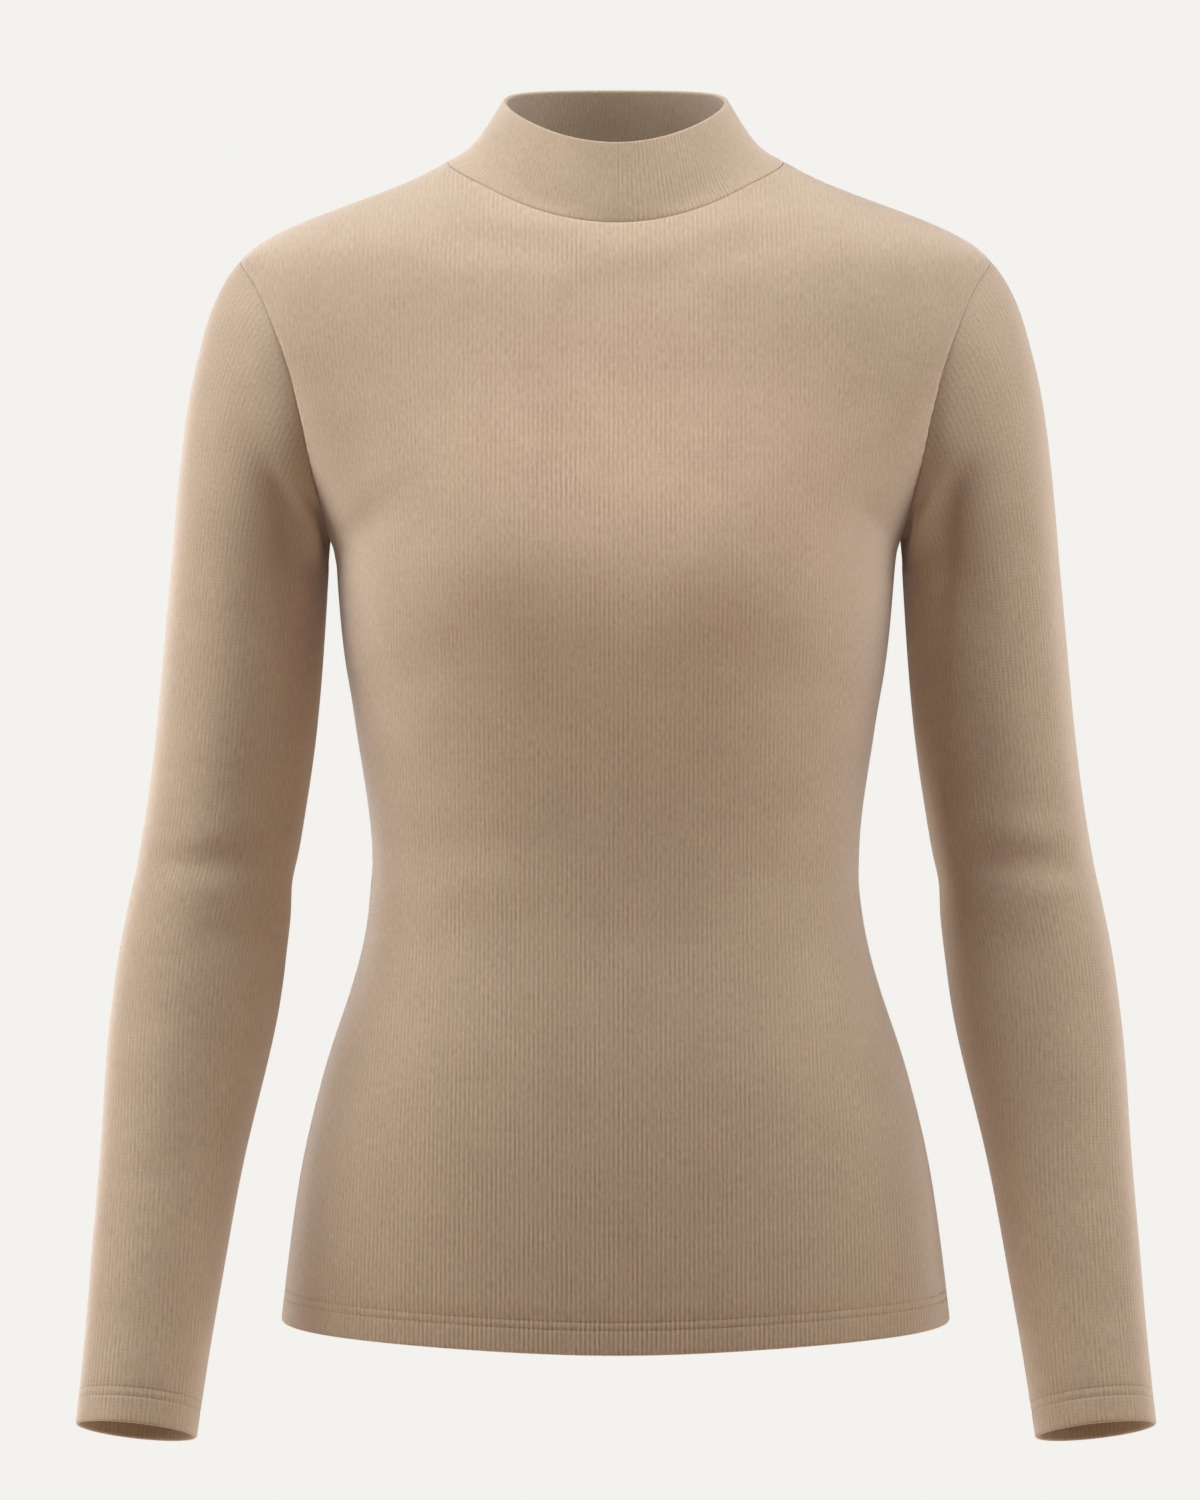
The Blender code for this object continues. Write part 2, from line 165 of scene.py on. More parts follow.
# Soft pulls in the worn cloth. Each row holds the rise outwards, x and z of the middle, all in
# mm, the lean from level in degrees, and how far it spreads along and across in mm.
FRONT_PULLS = (
    (-2.4, -60, -51, -13, 28, 6),
    (0.9, -70, -36, -14, 26, 6),
    (-1.9, 56, -55, 15, 24, 6),
    (0.8, 68, -40, 14, 24, 6),
    (0.6, 2, -60, 0, 60, 7),
    (-0.7, 18, -74, 4, 40, 7),
    (-1.3, -130, -192, 40, 20, 6),
    (-1.1, 129, -187, -38, 22, 6),
    (0.9, -120, -174, 42, 22, 7),
    (0.7, 118, -170, -40, 22, 7),
    (-0.9, -96, -262, 20, 30, 9),
    (-0.9, 94, -268, -22, 30, 9),
    (-0.8, -92, -352, 6, 34, 7),
    (0.6, -86, -372, 4, 34, 8),
    (-0.8, 96, -364, -8, 30, 7),
    (-0.5, 30, -392, 3, 50, 9),
    (-0.7, 120, -470, -50, 26, 10),
    (-0.6, -122, -462, 52, 28, 10),
)
BACK_PULLS = (
    (-1.0, -60, -38, 16, 26, 6),
    (-0.9, 62, -44, -14, 24, 6),
    (-1.3, -122, -190, -40, 26, 7),
    (-1.1, 124, -186, 38, 26, 7),
    (0.8, 112, -172, 36, 22, 8),
    (-1.4, 10, -328, 4, 60, 8),
    (1.1, -14, -349, -3, 62, 8),
    (-1.3, 8, -370, 2, 58, 8),
    (0.8, 26, -390, 3, 44, 8),
    (-0.8, -90, -345, -8, 28, 7),
    (-0.8, 92, -358, 9, 28, 7),
)


def curves(columns, table):
    """Smooth curves through a table's rows: a function of z in metres for each other column."""
    rows = np.array(sorted(table), float)
    z = rows[:, 0] * MM
    gap = np.diff(z)
    found = {}
    for name, value in zip(columns[1:], rows[:, 1:].T):
        slope = np.diff(value) / gap
        matrix = np.eye(len(z))
        right = np.zeros(len(z))
        for i in range(1, len(z) - 1):
            matrix[i, i - 1 : i + 2] = gap[i - 1], 2 * (gap[i - 1] + gap[i]), gap[i]
            right[i] = 6 * (slope[i] - slope[i - 1])
        found[name] = spline(z, value, np.linalg.solve(matrix, right))
    return found


def spline(z, value, bend):
    """A natural cubic spline through (z, value), with its second derivatives bend."""

    def at(where):
        i = np.clip(np.searchsorted(z, where) - 1, 0, len(z) - 2)
        span = z[i + 1] - z[i]
        up = (where - z[i]) / span
        down = 1 - up
        curve = (down**3 - down) * bend[i] + (up**3 - up) * bend[i + 1]
        return down * value[i] + up * value[i + 1] + curve * span**2 / 6

    return at


def bell(distance, spread):
    return np.exp(-0.5 * (distance / spread) ** 2)


def smooth(value, low, high):
    t = np.clip((value - low) / (high - low), 0, 1)
    return t * t * (3 - 2 * t)


def unit(vectors):
    return vectors / np.linalg.norm(vectors, axis=-1, keepdims=True)


width_at = curves(WIDTH_COLUMNS, WIDTHS)
depth_at = curves(DEPTH_COLUMNS, DEPTHS)


def body_point(angle, z):
    """The body's surface. angle is in degrees: 0 in front, 90 at the left side seam."""
    turn = np.radians(angle)
    side, ahead = np.sin(turn), np.cos(turn)
    front = ahead >= 0
    width = np.where(front, width_at["front"](z), width_at["back"](z)) * MM
    depth = np.where(front, depth_at["front"](z), depth_at["back"](z)) * MM
    power = depth_at["power"](z)
    reach = (np.abs(side / width) ** power + np.abs(ahead / depth) ** power) ** (-1 / power)
    height = bell(z - BUST_Z, np.where(z > BUST_Z, BUST_ABOVE, BUST_BELOW))
    lobes = bell(angle - BUST_ANGLE, BUST_SPREAD) + bell(angle + BUST_ANGLE, BUST_SPREAD)
    reach = reach + BUST_RISE * lobes * height
    return np.stack([reach * side, -reach * ahead, z + 0 * reach], -1)


def body_normal(angle, z):
    turn, step = 0.05, 0.1 * MM  # degrees and metres either side of the point
    across = body_point(angle + turn, z) - body_point(angle - turn, z)
    up = body_point(angle, z + step) - body_point(angle, z - step)
    return unit(np.cross(across, up))


def armhole_point(turn, back):
    """The left armhole seam. turn is in radians: 0 at the shoulder tip, pi under the arm."""
    middle = (SHOULDER_TIP_Z + UNDERARM_Z) / 2
    z = middle + (SHOULDER_TIP_Z - UNDERARM_Z) / 2 * np.cos(turn)
    ahead = ARMHOLE_HALF_DEPTH * np.sin(turn)
    side = "back" if back else "front"
    power = depth_at["power"](z)
    rest = 1 - np.abs(ahead / (depth_at[side](z) * MM)) ** power
    x = width_at[side](z) * MM * rest ** (1 / power)
    return np.stack([x, ahead if back else -ahead, z], -1)


def armhole_frame(turn, back):
    """Outward direction shared by both walls at the armhole seam, and the way across it."""
    side = 1 if back else -1
    out = np.stack([ARMHOLE_LEAN * (1 + np.cos(turn)), np.sin(turn) * side, np.cos(turn)], -1)
    step = 1e-4 * side
    along = unit(armhole_point(turn + step, back) - armhole_point(turn - step, back))
    out = unit(out - along * np.sum(out * along, -1, keepdims=True))
    return out, np.cross(along, out)


def neck_height(angle):
    """The neck seam: lowest in front, highest behind, level 0 at the shoulder seams."""
    ahead = np.cos(np.radians(angle))
    return np.where(ahead > 0, NECK_FRONT_Z, NECK_BACK_Z) * np.abs(ahead) ** NECK_CURVE


def neck_point(angle):
    return body_point(angle, neck_height(angle))


def neck_frame(angle):
    """Outward direction shared by both walls at the neck seam, and the way up across it."""
    turn, step = np.radians(angle), 0.1  # the step is in degrees
    level = NECK_SIDEWAYS * np.sin(turn), -NECK_SIDEWAYS * np.cos(turn)
    out = np.stack([*level, NECK_UPWARDS + 0 * turn], -1)
    along = unit(neck_point(angle + step) - neck_point(angle - step))
    out = unit(out - along * np.sum(out * along, -1, keepdims=True))
    return out, np.cross(out, along)


def hem_height(angle):
    """The hem hangs lowest at the middle."""
    return HEM_SIDE_Z - HEM_DIP * np.cos(np.radians(angle)) ** 2


def panel_rows(back, fine):
    """A panel's rows, hem to top: angle and height along each, from its middle to its end."""
    share = np.linspace(0, 1, 260)
    base = 90 * share
    top_angle = np.minimum(2 * base, 90)
    ridge = np.clip(2 * share - 1, 0, 1)
    neck_z = neck_height(180 - top_angle if back else top_angle)
    bow = (1 - SHOULDER_BOW) * ridge + SHOULDER_BOW * ridge**2
    top_z = np.where(share < 0.5, neck_z, SHOULDER_TIP_Z * bow)
    # Rows up to the armhole, then the places of the rows that end on it, closer near its top.
    if fine:
        rises, levels = FINE_RISES, 56
        turns = [*np.linspace(180, 20, 30), 17.5, 14.8, 11.7, 9, 6.9, 4.5, 0]
    else:
        rises, levels = PLAIN_RISES, 30
        turns = [*np.linspace(180, 12, 14), 0]
    angles = [base] * len(rises)
    heights = [hem_height(base) + rise for rise in rises]
    first = heights[-1]
    for level in np.arange(1, levels) / levels:
        angles.append(base)
        heights.append(first + (UNDERARM_Z - first) * level)
    for turn in np.radians(turns):
        up = (1 + np.cos(turn)) / 2
        x, y = armhole_point(turn, back)[:2]
        short = np.degrees(np.arctan2(x, abs(y))) - 90
        angles.append((1 - up) * base + up * top_angle + share * short)
        heights.append(UNDERARM_Z + (top_z - UNDERARM_Z) * up)
    return np.array(angles), np.array(heights), np.radians(turns)


def rib_reach(angle, z, back):
    """Distance from the middle rib: straight across at the shoulders, round the body below."""
    part = angle * np.linspace(0, 1, 40)[:, None, None]
    path = body_point(180 - part if back else part, z + 0 * part)
    around = np.linalg.norm(np.diff(path, axis=0), axis=-1).sum(0)
    low = smooth(-z, *RIBS_STRAIGHT)
    return path[-1][..., 0] * (1 - low) + around * low


def rib_columns(reach):
    """Places across the ribs, four to a rib. Past the end of its row a place lies at the end."""
    end = reach[:, -1:]
    count = np.ceil(end.max() / RIB * 4)
    column = np.arange(-count, count + 1) * RIB / 4
    ended = np.abs(column) > end - 0.1 * RIB
    return np.where(ended, np.sign(column) * end, column), ended


def plain_columns(reach):
    share = np.linspace(-1, 1, PLAIN_COLUMNS)
    return share * reach[:, -1:], np.abs(share) + 0 * reach[:, -1:] > 0.999


def on_rows(across, reach, line):
    """Reads a row's line of values at these places across the ribs."""
    return np.array([np.interp(np.abs(a), r, v) for a, r, v in zip(across, reach, line)])


def panel_surface(back, angle, z, across, ended, turns):
    """Points and outward directions of a panel, its seam edges set back by half the gap."""
    place = 180 - angle if back else angle
    points, out = body_point(place, z), body_normal(place, z)
    for row, turn in enumerate(turns, len(angle) - len(turns)):
        direction, away = armhole_frame(turn, back)
        points[row][ended[row]] = armhole_point(turn, back) - away * SEAM_GAP / 2
        out[row][ended[row]] = direction
    neck = (angle[-1] < 89.99) & ~ended[-1]
    direction, up = neck_frame(place[-1][neck])
    points[-1][neck] = neck_point(place[-1][neck]) - up * SEAM_GAP / 2
    out[-1][neck] = direction
    y = points[..., 1]
    points[..., 1] = np.maximum(y, SEAM_GAP / 2) if back else np.minimum(y, -SEAM_GAP / 2)
    side = np.where((across < 0) != back, -1, 1)
    for vectors in (points, out):
        vectors[..., 0] *= side
    return points, out


def nearest(points, line):
    """Distance from each point to a line of points."""
    tree = kdtree.KDTree(len(line))
    for i, place in enumerate(line):
        tree.insert(place, i)
    tree.balance()
    return np.array([tree.find(p)[2] for p in points.reshape(-1, 3)]).reshape(points.shape[:-1])


def body_seams(back):
    """The lines of a panel's seams on the left side."""
    down = np.linspace(UNDERARM_Z, HEM_SIDE_Z, 800)
    ridge = np.linspace(0, SHOULDER_TIP_Z, 300)
    hole = armhole_point(np.linspace(0, np.pi, 500), back)
    neck = neck_point(np.linspace(90, 180, 400) if back else np.linspace(0, 90, 400))
    return np.concatenate([hole, neck, *(body_point(90 + 0 * z, z) for z in (down, ridge))])


def pulls(table, points):
    """How far the soft pulls move the cloth outwards."""
    moved = 0
    for rise, x, z, lean, long, wide in table:
        dx, dz = points[..., 0] / MM - x, points[..., 2] / MM - z
        lean = np.radians(lean)
        along, across = dx * np.cos(lean) + dz * np.sin(lean), dz * np.cos(lean) - dx * np.sin(lean)
        moved = moved + rise * MM * bell(along, long) * bell(across, wide)
    return moved


def turned_edge(rise):
    """How far a turned edge's side falls back as it rolls round to the other side."""
    left = np.clip(1 - rise / (TURNED_WALL / 2), 0, 1)
    return TURNED_WALL / 2 * (1 - np.sqrt(1 - left**2))


def inner_side(moved, rise):
    """How far out the inner side lies: a wall's thickness in, and rolled at the edge."""
    wall = np.where(rise < TURN_UP + 0.1 * MM, TURNED_WALL, WALL)
    return moved - wall + INNER_ROLL * turned_edge(rise)


def stitch_dents(rise):
    return sum(STITCH_DENT * bell(rise - row, STITCH_DENT_SPREAD) for row in STITCH_ROWS)


def ribs(across, seam, strength):
    """The ribs' relief, pressed flat at the seams."""
    wave = np.cos(2 * np.pi * across / RIB)
    return RIB_HEIGHT / 2 * strength * wave * smooth(seam, 0, RIB_PRESSED)


def seam_groove(points, seam):
    """How far a seam pulls the cloth in: hardly at all over the tip of the shoulder."""
    tip = smooth(np.abs(points[..., 0]), *SEAM_EASED_X) * smooth(points[..., 2], *SEAM_EASED_Z)
    return SEAM_DEPTH * (1 - SEAM_EASED * tip) * np.exp(-((seam / SEAM_FADE) ** 2))


def lift_armholes(points):
    """Lifts the cloth along the armholes, so that chest and back run on into the sleeves."""
    x, y, z = np.moveaxis(points, -1, 0)
    level = (2 * z - SHOULDER_TIP_Z - UNDERARM_Z) / (SHOULDER_TIP_Z - UNDERARM_Z)
    turn = np.arccos(np.clip(level, -1, 1))
    seam = np.where(y > 0, armhole_point(turn, True)[..., 0], armhole_point(turn, False)[..., 0])
    lift = LIFT * bell(np.abs(x) - seam, LIFT_SPREAD)
    lift = lift * smooth(level, *LIFT_FADES_UNDER) * (1 - smooth(level, *LIFT_FADES_OVER))
    lift = lift * smooth(np.abs(y), *LIFT_FADES_SIDE) * np.sign(y)
    return points + np.stack([0 * lift, lift, 0 * lift], -1)


def grid_faces(first, rows, columns):
    i = np.arange(rows * columns).reshape(rows, columns) + first
    return np.stack([i[:-1, :-1], i[:-1, 1:], i[1:, 1:], i[1:, :-1]], -1).reshape(-1, 4).tolist()


def strip_faces(first, first_place, second, second_place):
    """Triangles between two lines of points with different spacing."""
    faces, i, j = [], 0, 0
    while i < len(first) - 1 or j < len(second) - 1:
        if j == len(second) - 1 or (i < len(first) - 1 and first_place[i + 1] <= second_place[j + 1]):
            faces.append((first[i], first[i + 1], second[j]))
            i += 1
        else:
            faces.append((first[i], second[j + 1], second[j]))
            j += 1
    return faces


def cloth(name, outer, inner, material, open_sides):
    """One closed wall. outer and inner hold points, places across the ribs, and heights."""
    faces = grid_faces(0, *outer[1].shape)
    start = outer[1].size
    faces += [face[::-1] for face in grid_faces(start, *inner[1].shape)]
    number = np.arange(start).reshape(outer[1].shape)
    under = np.arange(inner[1].size).reshape(inner[1].shape) + start
    hem = strip_faces(number[0], outer[1][0], under[0], inner[1][0])
    top = strip_faces(number[-1], outer[1][-1], under[-1], inner[1][-1])
    faces += [face[::-1] for face in hem] + top
    if open_sides:
        sides = [
            strip_faces(number[:, end], outer[2][:, end], under[:, end], inner[2][:, end])
            for end in (0, -1)
        ]
        faces += sides[0] + [face[::-1] for face in sides[1]]
    points, across, height = (
        np.concatenate([a.reshape(-1, *a.shape[2:]), b.reshape(-1, *b.shape[2:])])
        for a, b in zip(outer, inner)
    )
    return mesh_object(name, points, faces, np.stack([across, height], -1), material)


def mesh_object(name, points, faces, places, material):
    """A smooth mesh with a map of each point's place across and along the ribs, in metres."""
    mesh = bpy.data.meshes.new(name)
    mesh.from_pydata(points.tolist(), [], [tuple(map(int, face)) for face in faces])
    corners = np.empty(len(mesh.loops), np.int32)
    mesh.loops.foreach_get("vertex_index", corners)
    knit_map = mesh.uv_layers.new(name="knit_map")
    knit_map.uv.foreach_set("vector", places[corners].astype(np.float32).ravel())
    tidy = bmesh.new()
    tidy.from_mesh(mesh)
    bmesh.ops.remove_doubles(tidy, verts=tidy.verts, dist=0.002 * MM)
    tidy.to_mesh(mesh)
    tidy.free()
    mesh.shade_smooth()
    mesh.materials.append(material)
    made = bpy.data.objects.new(name, mesh)
    bpy.context.scene.collection.objects.link(made)
    return made


def body_panel(name, back, table, material):
    sides = []
    for fine in (True, False):
        angle, z, turns = panel_rows(back, fine)
        reach = rib_reach(angle, z, back)
        across, ended = rib_columns(reach) if fine else plain_columns(reach)
        angle, z = on_rows(across, reach, angle), on_rows(across, reach, z)
        points, out = panel_surface(back, angle, z, across, ended, turns)
        rise = z - hem_height(np.minimum(angle, 90))
        moved = pulls(table, points) - turned_edge(rise)
        if fine:
            seam = nearest(np.abs(points) * [1, 0, 0] + points * [0, 1, 1], body_seams(back))
            width = RIBS_HALF_WIDTH + RIBS_WIDER * smooth(-z, *RIBS_WIDER_Z)
            clear = RIBS_AT_MIDDLE + RIBS_LOW_DOWN * smooth(-z, *RIBS_LOW_Z)
            strength = RIBS_AT_SIDES + bell(points[..., 0], width) * clear
            moved = moved + ribs(across, seam, strength) - stitch_dents(rise)
            moved = moved - seam_groove(points, seam)
        else:
            moved = inner_side(moved, rise)
        sides.append((lift_armholes(points + out * moved[..., None]), across, z))
    return cloth(name, *sides, material, open_sides=True)


def srgb(code):
    """A colour from its sRGB hex code, made linear."""
    value = np.array([int(code[i : i + 2], 16) for i in (1, 3, 5)]) / 255
    return (*np.where(value <= 0.04045, value / 12.92, ((value + 0.055) / 1.055) ** 2.4).tolist(), 1.0)


def node(tree, kind, inputs=(), **settings):
    """Adds a shader node. Each input is given another node's output or a value."""
    made = tree.nodes.new(kind)
    for key, value in settings.items():
        setattr(made, key, value)
    for key, value in dict(inputs).items():
        if isinstance(value, bpy.types.NodeSocket):
            tree.links.new(value, made.inputs[key])
        else:
            made.inputs[key].default_value = value
    return made


# Cotton with a little elastane, knitted in ribs: matt, with a haze of short fibre ends that
# lightens its edges, and a fine row of loops up each rib. Shade is painted darker down in the
# ribs, and light is painted on their crests.
COTTON = "#CFB89E"
# The darker colour: uneven yarn, and the shade painted down in the ribs.
COTTON_DARK_TONE_AND_PAINTED_SHADE = "#83634C"
LOOP = 1.15 * MM  # drawn a little coarser than the real loops, which are too fine to show
STREAK_WIDTH = 1.0 * MM  # uneven yarn, a little lighter or darker for a few loops
STREAK_LENGTH = 4 * MM
HAZE_SCALE = 1100.0  # fibre ends, and larger clouds, in waves a metre
CLOUD_SCALE = 45.0
RELIEF = 0.15 * MM
# Where the painted shade in the ribs stands out and where it fades: patches of this size, between
# a least and a most. It weakens away from the middle and strengthens down the piece, by so
# much a metre.
RIB_SHADE_WIDTH = 7 * MM
RIB_SHADE_LENGTH = 22 * MM
RIB_SHADE_GAIN = 5.0
RIB_SHADE_LOSS = -1.5
RIB_SHADE_LEAST = 0.2
RIB_SHADE_MOST = 1.8
RIB_SHADE_AT_MIDDLE = 1.4
RIB_SHADE_ASIDE = -6.0
RIB_SHADE_LEAST_ASIDE = 0.3
RIB_SHADE_AT_TOP = 0.9
RIB_SHADE_DOWNWARDS = -1.6
# How light the cloth is: a base, and what loops, fibre ends, streaks and clouds add to it.
SHADE_BASE = 0.15
SHADE_LOOPS = 0.05
SHADE_HAZE = 0.4
SHADE_STREAK = 0.6
SHADE_CLOUD = 0.2


# depth is how strongly shade is painted down in the ribs, and light on their crests.
def cotton_rib(name, depth):
    material = bpy.data.materials.new(name)
    material.use_nodes = True
    tree = material.node_tree

    def number(operation, *values):
        return node(tree, "ShaderNodeMath", enumerate(values), operation=operation).outputs[0]

    knit = node(tree, "ShaderNodeUVMap", uv_map="knit_map")
    place = node(tree, "ShaderNodeSeparateXYZ", {0: knit.outputs[0]})
    spot = node(tree, "ShaderNodeTexCoord").outputs["Object"]
    turn = number("MULTIPLY", place.outputs[0], 2 * np.pi / RIB)
    painted_rib_shade = number("MULTIPLY", number("COSINE", turn), depth / 2)
    wale = number("PINGPONG", number("DIVIDE", place.outputs[0], RIB / 2), 0.5)
    loop = number("MULTIPLY_ADD", wale, 1.1, number("DIVIDE", place.outputs[1], LOOP))
    loops = number("SINE", number("MULTIPLY", loop, 2 * np.pi))

    def noise(vector, scale, detail):
        inputs = {"Vector": vector, "Scale": scale, "Detail": detail}
        return node(tree, "ShaderNodeTexNoise", inputs).outputs[0]

    def patches(width, length, detail):
        across = number("MULTIPLY", place.outputs[0], 1 / width)
        along = number("MULTIPLY", place.outputs[1], 1 / length)
        spread = node(tree, "ShaderNodeCombineXYZ", {0: across, 1: along}).outputs[0]
        return noise(spread, 1.0, detail)

    haze = noise(spot, HAZE_SCALE, 3.0)
    cloud = noise(spot, CLOUD_SCALE, 4.0)
    streak = patches(STREAK_WIDTH, STREAK_LENGTH, 2.0)
    rib_shade_strength = number("MULTIPLY_ADD", patches(RIB_SHADE_WIDTH, RIB_SHADE_LENGTH, 1.0), RIB_SHADE_GAIN, RIB_SHADE_LOSS)
    rib_shade_strength = number("MINIMUM", number("MAXIMUM", rib_shade_strength, RIB_SHADE_LEAST), RIB_SHADE_MOST)
    aside = number("ABSOLUTE", place.outputs[0])
    aside = number("MULTIPLY_ADD", aside, RIB_SHADE_ASIDE, RIB_SHADE_AT_MIDDLE)
    rib_shade_strength = number("MULTIPLY", rib_shade_strength, number("MAXIMUM", aside, RIB_SHADE_LEAST_ASIDE))
    down = number("MULTIPLY_ADD", place.outputs[1], RIB_SHADE_DOWNWARDS, RIB_SHADE_AT_TOP)
    # Painted shade and light: darker down in the rib valleys and lighter on the crests, most at the
    # middle and low down.
    shade = number("MULTIPLY_ADD", painted_rib_shade, number("MULTIPLY", rib_shade_strength, down), SHADE_BASE)
    shade = number("MULTIPLY_ADD", loops, SHADE_LOOPS, shade)
    shade = number("MULTIPLY_ADD", haze, SHADE_HAZE, shade)
    shade = number("MULTIPLY_ADD", streak, SHADE_STREAK, shade)
    shade = number("MULTIPLY_ADD", cloud, SHADE_CLOUD, shade)
    colour = node(
        tree, "ShaderNodeMix", {0: shade, 6: srgb(COTTON_DARK_TONE_AND_PAINTED_SHADE), 7: srgb(COTTON)}, data_type="RGBA"
    )
    relief = number("MULTIPLY_ADD", loops, 0.5, haze)
    bump = node(tree, "ShaderNodeBump", {"Strength": 0.4, "Distance": RELIEF, "Height": relief})
    shader = tree.nodes["Principled BSDF"]
    tree.links.new(colour.outputs[2], shader.inputs["Base Color"])
    tree.links.new(bump.outputs[0], shader.inputs["Normal"])
    shader.inputs["Roughness"].default_value = 0.88
    shader.inputs["Specular IOR Level"].default_value = 0.22
    shader.inputs["Sheen Weight"].default_value = 0.7
    shader.inputs["Sheen Roughness"].default_value = 0.5
    shader.inputs["Sheen Tint"].default_value = srgb("#FFFAF4")
    return material


body_knit = cotton_rib("body_cotton_rib", 0.12)
front = body_panel("front_panel", False, FRONT_PULLS, body_knit)
back = body_panel("back_panel", True, BACK_PULLS, body_knit)
for piece, solid in ((front, "front"), (back, "back")):
    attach(piece, "root")
    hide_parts(solid)

# ---------------------------------------------------------------------------------------------
# Hem stitching: two rows of a twin needle in matching cotton thread, pulled into the cloth.
# Both rows of a panel are one mesh of short threads, laid end to end round the body.
# ---------------------------------------------------------------------------------------------
STITCH = 2.3 * MM
STITCH_PITCH = 3.0 * MM
THREAD = 0.36 * MM
THREAD_SEAT = 0.06 * MM  # how far a thread's line lies above the bottom of its dent
# Along a stitch: share of its length, share of its thickness, and how far it dips.
STITCH_SHAPE = ((0, 0.35, 1), (0.16, 1, 0.15), (0.84, 1, 0.15), (1, 0.35, 1))


def threads(name, starts, ends, outs, material):
    """Short threads from starts to ends, each a six-sided bead that dips at both ends."""
    around = np.radians(np.arange(6) * 60)
    points, faces = [], []
    for a, b, out in zip(starts, ends, outs):
        along = b - a
        side = unit(np.cross(along, out))
        first = len(points)
        for share, wide, dip in STITCH_SHAPE:
            middle = a + along * share - out * THREAD * 0.5 * dip
            for turn in around:
                reach = side * np.cos(turn) + out * np.sin(turn)
                points.append(middle + reach * THREAD / 2 * wide)
        for ring in range(3):
            for k in range(6):
                low, high = first + ring * 6, first + ring * 6 + 6
                faces.append((low + k, high + k, high + (k + 1) % 6, low + (k + 1) % 6))
        faces.append(tuple(first + k for k in range(6)))
        faces.append(tuple(first + 18 + k for k in range(5, -1, -1)))
    points = np.array(points)
    return mesh_object(name, points, faces, points[:, [0, 2]], material)


def along_line(line, outs):
    """Starts, ends and outward directions of the stitches along a line."""
    length = np.concatenate([[0], np.cumsum(np.linalg.norm(np.diff(line, axis=0), axis=-1))])
    start = np.arange(STITCH_PITCH / 2, length[-1] - STITCH_PITCH, STITCH_PITCH)

    def at(place, values):
        return np.stack([np.interp(place, length, v) for v in values.T], -1)

    return at(start, line), at(start + STITCH, line), unit(at(start + STITCH / 2, outs))


def cotton_thread(name):
    material = bpy.data.materials.new(name)
    material.use_nodes = True
    shader = material.node_tree.nodes["Principled BSDF"]
    # Matching thread, drawn a little darker than the cloth: the extra darkness is painted shade of the
    # dents it lies in.
    shader.inputs["Base Color"].default_value = srgb("#AC9077")
    shader.inputs["Roughness"].default_value = 0.7
    shader.inputs["Sheen Weight"].default_value = 0.2
    return material


thread = cotton_thread("cotton_thread")
for piece, name, first, last, flat in (
    (front, "front_hem_stitches", -89.6, 89.6, (0.46, 0.595)),
    (back, "back_hem_stitches", 90.4, 269.6, (0.46, 0.62)),
):
    angle = np.linspace(first, last, 700)
    rows = []
    for row in STITCH_ROWS:
        z = hem_height(angle) + row
        place = np.where(angle > 180, 360 - angle, np.abs(angle))
        point, out = body_point(place, z), body_normal(place, z)
        side = np.where((angle < 0) | (angle > 180), -1.0, 1.0)
        mirror = np.stack([side, 0 * side + 1, 0 * side + 1], -1)
        point, out = point * mirror, out * mirror
        rows.append(along_line(point - out * (STITCH_DENT - THREAD_SEAT), out))
    stitches = threads(name, *(np.concatenate(part) for part in zip(*rows)), thread)
    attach(stitches, "root")

# ---------------------------------------------------------------------------------------------
# Sleeves: set-in tubes of the same rib, the ribs running down the arm to a turned cuff. One
# seam runs under the arm. The cloth is pushed into soft folds at the armpit and the elbow.
# ---------------------------------------------------------------------------------------------
SLEEVE_COLUMNS = ("z", "x", "y", "half_width", "half_depth")
SLEEVE = (
    (-208, 186.1, -1, 39.9, 46),
    (-250, 189.4, 0, 40.5, 46.5),
    (-301, 194.3, 0, 40.4, 46),
    (-352, 201.6, -2, 40, 44),
    (-377, 205.4, -4, 40.8, 44),
    (-403, 209.3, -8, 42, 44),
    (-428, 212.7, -13, 42, 43),
    (-454, 216.5, -19.5, 40.6, 41),
    (-502, 222.7, -33, 36.2, 36),
    (-551, 228, -48, 33.4, 33),
    (-599, 232.9, -63, 31, 30.7),
    (-637, 236.8, -74.5, 30, 29.8),
)
CAP_SLOPE_TOP = 46  # degrees below level, where the cap leaves the shoulder
CAP_SLOPE_UNDER = 84
CAP_SPREAD = 0.06  # how much it spreads forwards and backwards there
CAP_FULLNESS_SEAM = 0.68
CAP_FULLNESS_ARM = 1.1
FOLDS_START = 0.15  # shares of the cap over which folds and creases begin
CREASES_START = 0.2
SLEEVE_RIBS = 0.3  # share of the ribs' height
MAP_LENGTH = 0.3  # metres of the knit map, down the cap and again down the arm

# The solids' folds: rise outwards in mm, angle round the sleeve, turn of it for each metre up,
# height in mm, and the two spreads. Angle 0 is outside, 90 in front and 180 inside.
FOLDS = (
    (-4.2, 117, -300, -190, 9, 33),
    (2.4, 134, -450, -182, 7, 16),
    (-3.0, 243, 260, -186, 10, 30),
    (1.8, 227, 350, -180, 7, 15),
    (-2.2, 84, 700, -357, 34, 7),
    (1.2, 90, 600, -343, 32, 8),
    (-1.6, 200, -500, -369, 30, 8),
    (-1.2, 320, 300, -381, 24, 9),
    (-1.4, 110, 500, -395, 26, 9),
)
